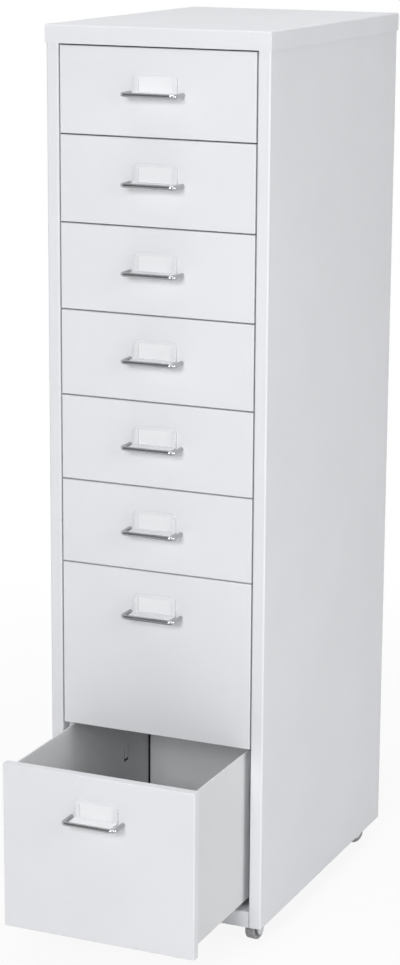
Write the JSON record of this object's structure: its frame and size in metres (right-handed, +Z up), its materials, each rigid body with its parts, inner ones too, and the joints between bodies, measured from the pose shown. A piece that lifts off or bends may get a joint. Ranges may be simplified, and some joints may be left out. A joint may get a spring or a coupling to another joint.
{
  "type": "rolling drawer cabinet",
  "caption": "Tall narrow folded-steel cabinet on swivel casters: a stack of shallow drawers over deeper ones, each with a wire pull handle and a card holder.",
  "frame": {"origin": "on the floor under the middle of the object's box, with the lowest drawer part open as it stands at rest", "axes": "+Z up, +Y towards the back of the cabinet, +X to the right of a person facing the drawers"},
  "size_m": [0.2824, 0.6032, 1.0931],
  "materials": {
    "white_paint": "smooth satin white powder coat",
    "drawer_paint": "satin white powder coat on the drawer boxes",
    "runner_steel": "white powder-coated channel with rubbed edges",
    "handle_chrome": "bright plated wire",
    "label_plastic": "clear moulded plastic",
    "caster_steel": "zinc-plated pressed steel",
    "wheel_grey": "grey moulded plastic"
  },
  "bodies": {
    "cabinet": {"side_panel_left": "white_paint", "side_panel_right": "white_paint", "stop_strip_left": "white_paint", "stop_strip_right": "white_paint", "back_panel": "white_paint", "top_cap": "white_paint", "base_panel": "white_paint", "runners_left": "runner_steel", "runners_right": "runner_steel", "caster_sockets": "caster_steel"},
    "drawer_1": {"drawer_1_front": "white_paint", "drawer_1_box": "drawer_paint", "drawer_1_handle": "handle_chrome", "drawer_1_label_holder": "label_plastic"},
    "drawer_2": {"drawer_2_front": "white_paint", "drawer_2_box": "drawer_paint", "drawer_2_handle": "handle_chrome", "drawer_2_label_holder": "label_plastic"},
    "drawer_3": {"drawer_3_front": "white_paint", "drawer_3_box": "drawer_paint", "drawer_3_handle": "handle_chrome", "drawer_3_label_holder": "label_plastic"},
    "drawer_4": {"drawer_4_front": "white_paint", "drawer_4_box": "drawer_paint", "drawer_4_handle": "handle_chrome", "drawer_4_label_holder": "label_plastic"},
    "drawer_5": {"drawer_5_front": "white_paint", "drawer_5_box": "drawer_paint", "drawer_5_handle": "handle_chrome", "drawer_5_label_holder": "label_plastic"},
    "drawer_6": {"drawer_6_front": "white_paint", "drawer_6_box": "drawer_paint", "drawer_6_handle": "handle_chrome", "drawer_6_label_holder": "label_plastic"},
    "drawer_7": {"drawer_7_front": "white_paint", "drawer_7_box": "drawer_paint", "drawer_7_handle": "handle_chrome", "drawer_7_label_holder": "label_plastic"},
    "drawer_8": {"drawer_8_front": "white_paint", "drawer_8_box": "drawer_paint", "drawer_8_handle": "handle_chrome", "drawer_8_label_holder": "label_plastic"},
    "caster_front_left_swivel": {"caster_front_left_fork": "caster_steel", "caster_front_left_axle": "caster_steel"},
    "caster_front_left_roller": {"caster_front_left_wheel": "wheel_grey"},
    "caster_front_right_swivel": {"caster_front_right_fork": "caster_steel", "caster_front_right_axle": "caster_steel"},
    "caster_front_right_roller": {"caster_front_right_wheel": "wheel_grey"},
    "caster_rear_left_swivel": {"caster_rear_left_fork": "caster_steel", "caster_rear_left_axle": "caster_steel"},
    "caster_rear_left_roller": {"caster_rear_left_wheel": "wheel_grey"},
    "caster_rear_right_swivel": {"caster_rear_right_fork": "caster_steel", "caster_rear_right_axle": "caster_steel"},
    "caster_rear_right_roller": {"caster_rear_right_wheel": "wheel_grey"}
  },
  "joints": [
    {"name": "drawer_1_slide", "type": "slide", "parent": "cabinet", "child": "drawer_1", "axis": [0, -1, 0], "range_m": [0, 0.296]},
    {"name": "drawer_2_slide", "type": "slide", "parent": "cabinet", "child": "drawer_2", "axis": [0, -1, 0], "range_m": [0, 0.296]},
    {"name": "drawer_3_slide", "type": "slide", "parent": "cabinet", "child": "drawer_3", "axis": [0, -1, 0], "range_m": [0, 0.296]},
    {"name": "drawer_4_slide", "type": "slide", "parent": "cabinet", "child": "drawer_4", "axis": [0, -1, 0], "range_m": [0, 0.296]},
    {"name": "drawer_5_slide", "type": "slide", "parent": "cabinet", "child": "drawer_5", "axis": [0, -1, 0], "range_m": [0, 0.296]},
    {"name": "drawer_6_slide", "type": "slide", "parent": "cabinet", "child": "drawer_6", "axis": [0, -1, 0], "range_m": [0, 0.296]},
    {"name": "drawer_7_slide", "type": "slide", "parent": "cabinet", "child": "drawer_7", "axis": [0, -1, 0], "range_m": [0, 0.296]},
    {"name": "drawer_8_slide", "type": "slide", "parent": "cabinet", "child": "drawer_8", "axis": [0, -1, 0], "range_m": [-0.159, 0.137]},
    {"name": "caster_front_left_turn", "type": "hinge", "parent": "cabinet", "child": "caster_front_left_swivel", "pos_m": [-0.1225, -0.0806, 0.0367], "axis": [0, 0, 1], "continuous": true},
    {"name": "caster_front_left_roll", "type": "hinge", "parent": "caster_front_left_swivel", "child": "caster_front_left_roller", "pos_m": [-0.12084, -0.08843, 0.013], "axis": [0.9781, 0.2079, 0], "continuous": true},
    {"name": "caster_front_right_turn", "type": "hinge", "parent": "cabinet", "child": "caster_front_right_swivel", "pos_m": [0.1225, -0.0806, 0.0367], "axis": [0, 0, 1], "continuous": true},
    {"name": "caster_front_right_roll", "type": "hinge", "parent": "caster_front_right_swivel", "child": "caster_front_right_roller", "pos_m": [0.12139, -0.08852, 0.013], "axis": [0.9903, -0.1392, 0], "continuous": true},
    {"name": "caster_rear_left_turn", "type": "hinge", "parent": "cabinet", "child": "caster_rear_left_swivel", "pos_m": [-0.1225, 0.2654, 0.0367], "axis": [0, 0, 1], "continuous": true},
    {"name": "caster_rear_left_roll", "type": "hinge", "parent": "caster_rear_left_swivel", "child": "caster_rear_left_roller", "pos_m": [-0.11912, 0.25815, 0.013], "axis": [0.9063, 0.4226, 0], "continuous": true},
    {"name": "caster_rear_right_turn", "type": "hinge", "parent": "cabinet", "child": "caster_rear_right_swivel", "pos_m": [0.1225, 0.2654, 0.0367], "axis": [0, 0, 1], "continuous": true},
    {"name": "caster_rear_right_roll", "type": "hinge", "parent": "caster_rear_right_swivel", "child": "caster_rear_right_roller", "pos_m": [0.1185, 0.25847, 0.013], "axis": [0.866, -0.5, 0], "continuous": true}
  ]
}
